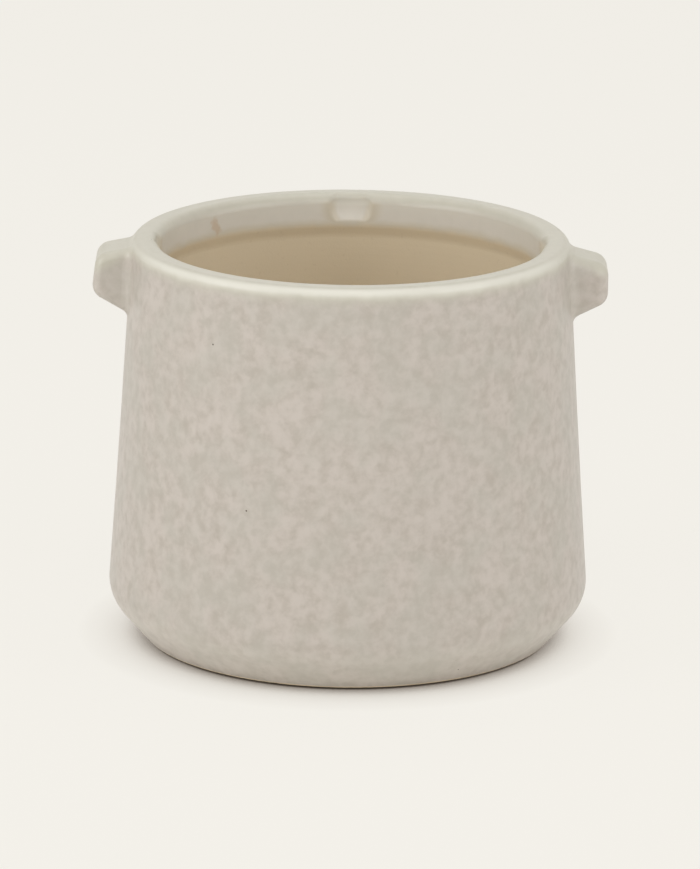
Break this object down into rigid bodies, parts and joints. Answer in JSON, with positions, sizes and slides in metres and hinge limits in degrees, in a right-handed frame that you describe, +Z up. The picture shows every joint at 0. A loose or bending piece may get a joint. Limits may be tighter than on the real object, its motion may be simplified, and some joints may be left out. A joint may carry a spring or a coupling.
{
  "type": "cachepot",
  "caption": "Round stoneware cachepot with a rounded belly, a thick rounded lip with thumb dents inside, and two short block lugs at the rim, to stand a nursery pot in.",
  "frame": {"origin": "middle of the bottom of the pot's box, on the plane that its foot pads stand on and on the axis it is turned about", "axes": "+Z up along the turning axis, +X to the right through both lugs, -Y to the front"},
  "size_m": [0.1676, 0.1572, 0.1334],
  "materials": {
    "stoneware": "mottled warm grey semi-matte glaze, paler and satin on the lip, bare clay low inside and on the foot ring",
    "rubber": "dark matte rubber sheet"
  },
  "bodies": {
    "root": {"pot_body": "stoneware", "lug_left": "stoneware", "lug_right": "stoneware", "foot_pad_1": "rubber", "foot_pad_2": "rubber", "foot_pad_3": "rubber"}
  },
  "joints": []
}
